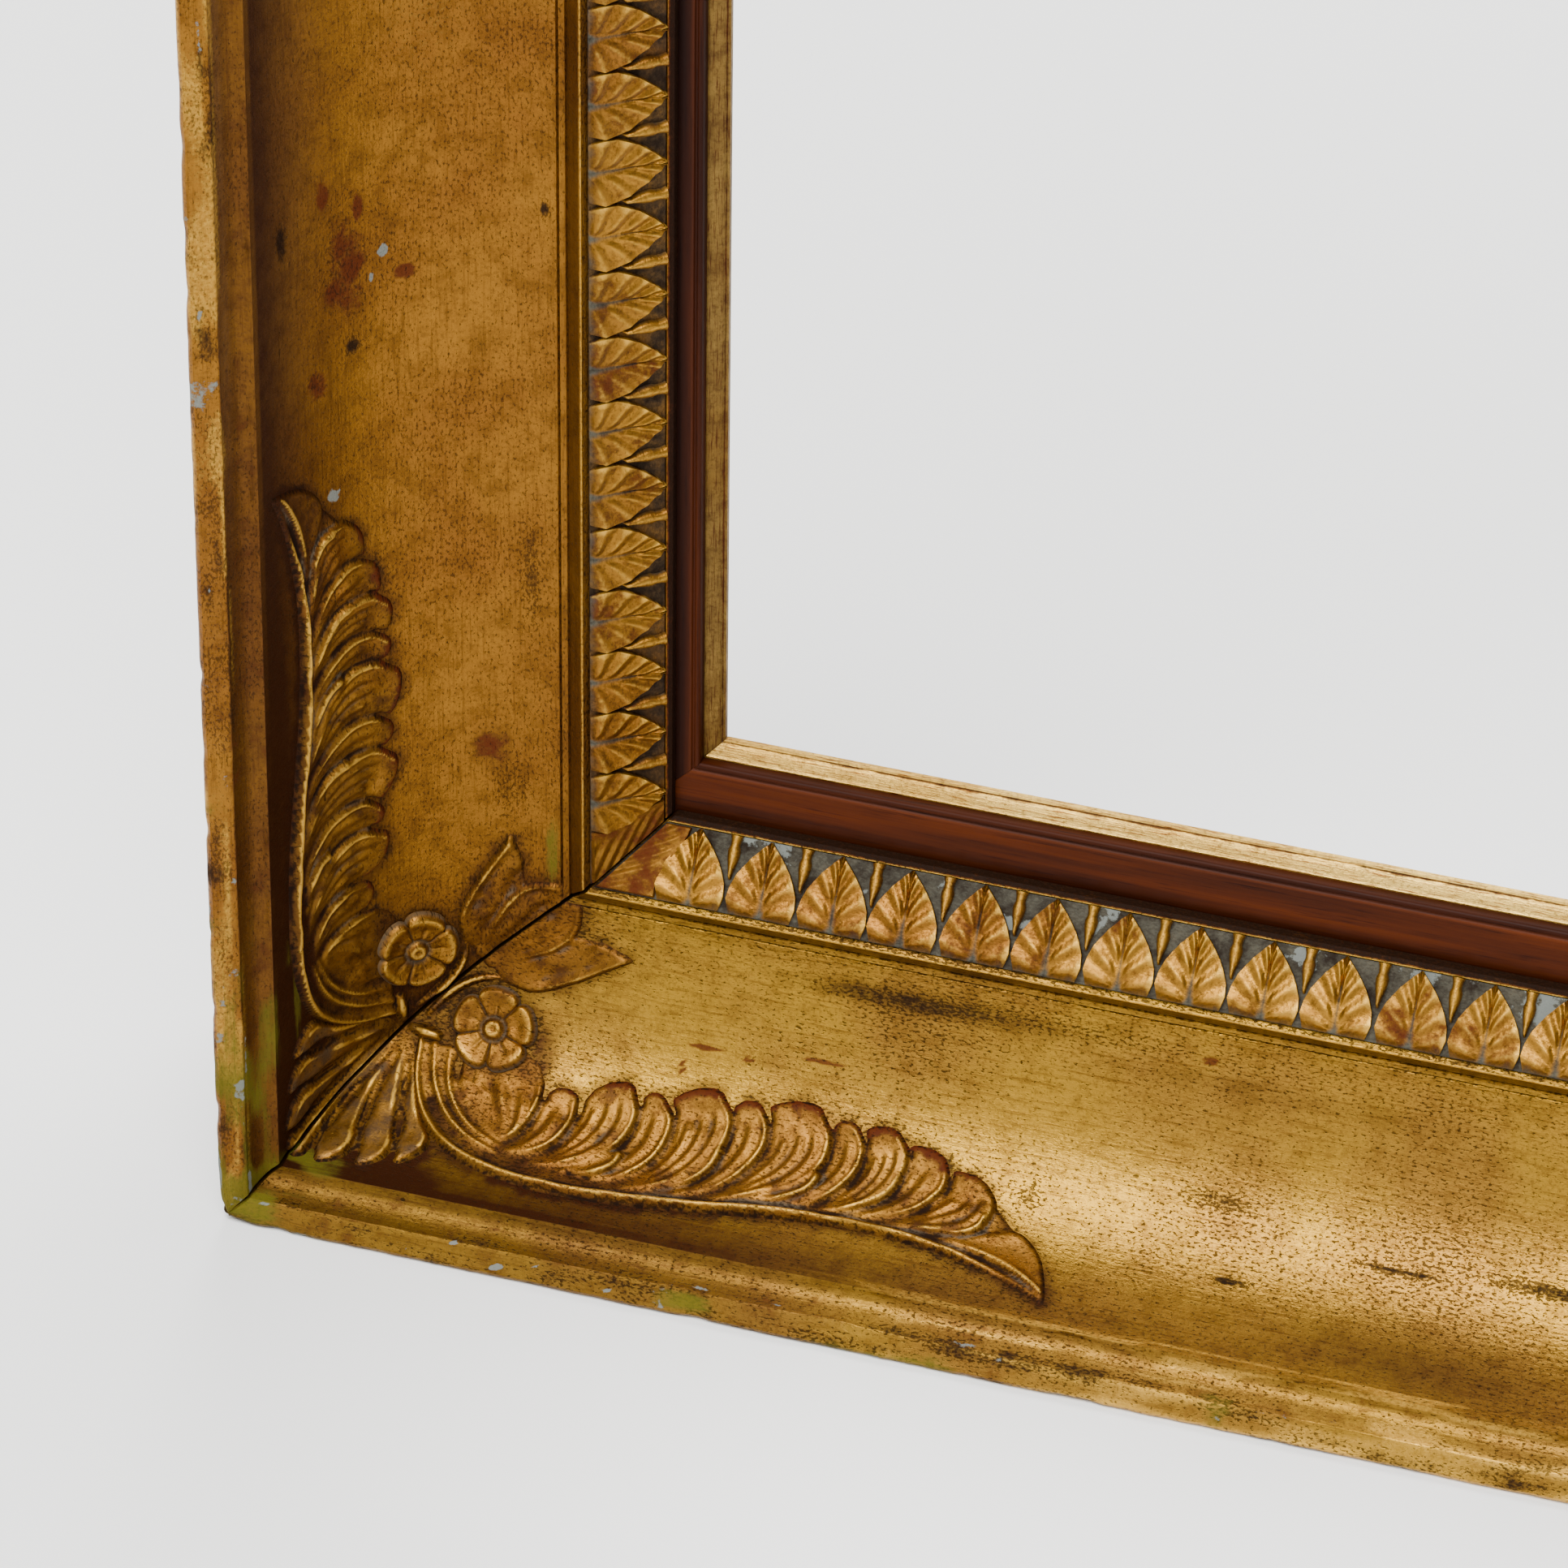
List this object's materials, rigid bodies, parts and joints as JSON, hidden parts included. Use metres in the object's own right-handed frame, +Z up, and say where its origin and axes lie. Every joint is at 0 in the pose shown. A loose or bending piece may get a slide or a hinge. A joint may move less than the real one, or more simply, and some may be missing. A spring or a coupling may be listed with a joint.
{
  "type": "picture frame",
  "caption": "Deep gilded picture frame with corner sprays in its cove, a leaf-and-dart sight band, and a mahogany liner with a gilt slip held from behind by turn buttons.",
  "frame": {"origin": "middle of the lower edge, half way between the rim and the rearmost hanger", "axes": "+X to the viewer's right, +Y from the front to the wall, +Z up"},
  "size_m": [0.779, 0.0984, 0.909],
  "materials": {
    "gilded_wood": "aged leaf gilding over red bole and gesso, toned brown toward the rim",
    "gilded_composition": "gilded pressed composition, rubbed on the ridges and dusty in the hollows",
    "softwood": "sawn, aged",
    "peg_wood": "end grain, aged",
    "mahogany": "satin polish",
    "slip_gilding": "bright leaf gilding, rubbed to red bole",
    "cork": "cut sheet cork",
    "brass": "dull stamped sheet",
    "steel": "plated, dull"
  },
  "bodies": {
    "frame": {"moulding_bottom": "gilded_wood", "back_board_bottom": "softwood", "leaf_strip_bottom": "gilded_composition", "liner_bottom": "mahogany", "gilt_slip_bottom": "slip_gilding", "moulding_right": "gilded_wood", "back_board_right": "softwood", "leaf_strip_right": "gilded_composition", "liner_right": "mahogany", "gilt_slip_right": "slip_gilding", "moulding_top": "gilded_wood", "back_board_top": "softwood", "leaf_strip_top": "gilded_composition", "liner_top": "mahogany", "gilt_slip_top": "slip_gilding", "moulding_left": "gilded_wood", "back_board_left": "softwood", "leaf_strip_left": "gilded_composition", "liner_left": "mahogany", "gilt_slip_left": "slip_gilding", "spray_bottom_left_bottom": "gilded_composition", "spray_bottom_left_left": "gilded_composition", "corner_fan_bottom_left": "gilded_composition", "leaf_sprigs_bottom_left": "gilded_composition", "rosettes_bottom_left": "gilded_composition", "spray_bottom_right_right": "gilded_composition", "spray_bottom_right_bottom": "gilded_composition", "corner_fan_bottom_right": "gilded_composition", "leaf_sprigs_bottom_right": "gilded_composition", "rosettes_bottom_right": "gilded_composition", "spray_top_right_top": "gilded_composition", "spray_top_right_right": "gilded_composition", "corner_fan_top_right": "gilded_composition", "leaf_sprigs_top_right": "gilded_composition", "rosettes_top_right": "gilded_composition", "spray_top_left_left": "gilded_composition", "spray_top_left_top": "gilded_composition", "corner_fan_top_left": "gilded_composition", "leaf_sprigs_top_left": "gilded_composition", "rosettes_top_left": "gilded_composition", "lap_pegs": "peg_wood", "liner_nails": "steel", "cork_packers": "cork", "button_screws": "steel", "hanger_screws": "steel", "strap_hanger_left": "steel", "strap_hanger_right": "steel"},
    "turn_button_upper_left": {"turn_button_upper_left": "brass"},
    "turn_button_lower_left": {"turn_button_lower_left": "brass"},
    "turn_button_lower_right": {"turn_button_lower_right": "brass"},
    "turn_button_upper_right": {"turn_button_upper_right": "brass"},
    "hanging_ring_left": {"hanging_ring_left": "steel"},
    "hanging_ring_right": {"hanging_ring_right": "steel"}
  },
  "joints": [
    {"name": "turn_upper_left", "type": "hinge", "parent": "frame", "child": "turn_button_upper_left", "pos_m": [-0.332, 0.0439, 0.6145], "axis": [0, 1, 0], "continuous": true},
    {"name": "turn_lower_left", "type": "hinge", "parent": "frame", "child": "turn_button_lower_left", "pos_m": [-0.332, 0.0439, 0.2945], "axis": [0, 1, 0], "continuous": true},
    {"name": "turn_lower_right", "type": "hinge", "parent": "frame", "child": "turn_button_lower_right", "pos_m": [0.332, 0.0439, 0.2945], "axis": [0, 1, 0], "continuous": true},
    {"name": "turn_upper_right", "type": "hinge", "parent": "frame", "child": "turn_button_upper_right", "pos_m": [0.332, 0.0439, 0.6145], "axis": [0, 1, 0], "continuous": true},
    {"name": "swing_left", "type": "hinge", "parent": "frame", "child": "hanging_ring_left", "pos_m": [-0.35375, 0.0462, 0.679], "axis": [1, 0, 0], "range_deg": [0, 180]},
    {"name": "swing_right", "type": "hinge", "parent": "frame", "child": "hanging_ring_right", "pos_m": [0.35375, 0.0462, 0.679], "axis": [1, 0, 0], "range_deg": [0, 180]}
  ]
}
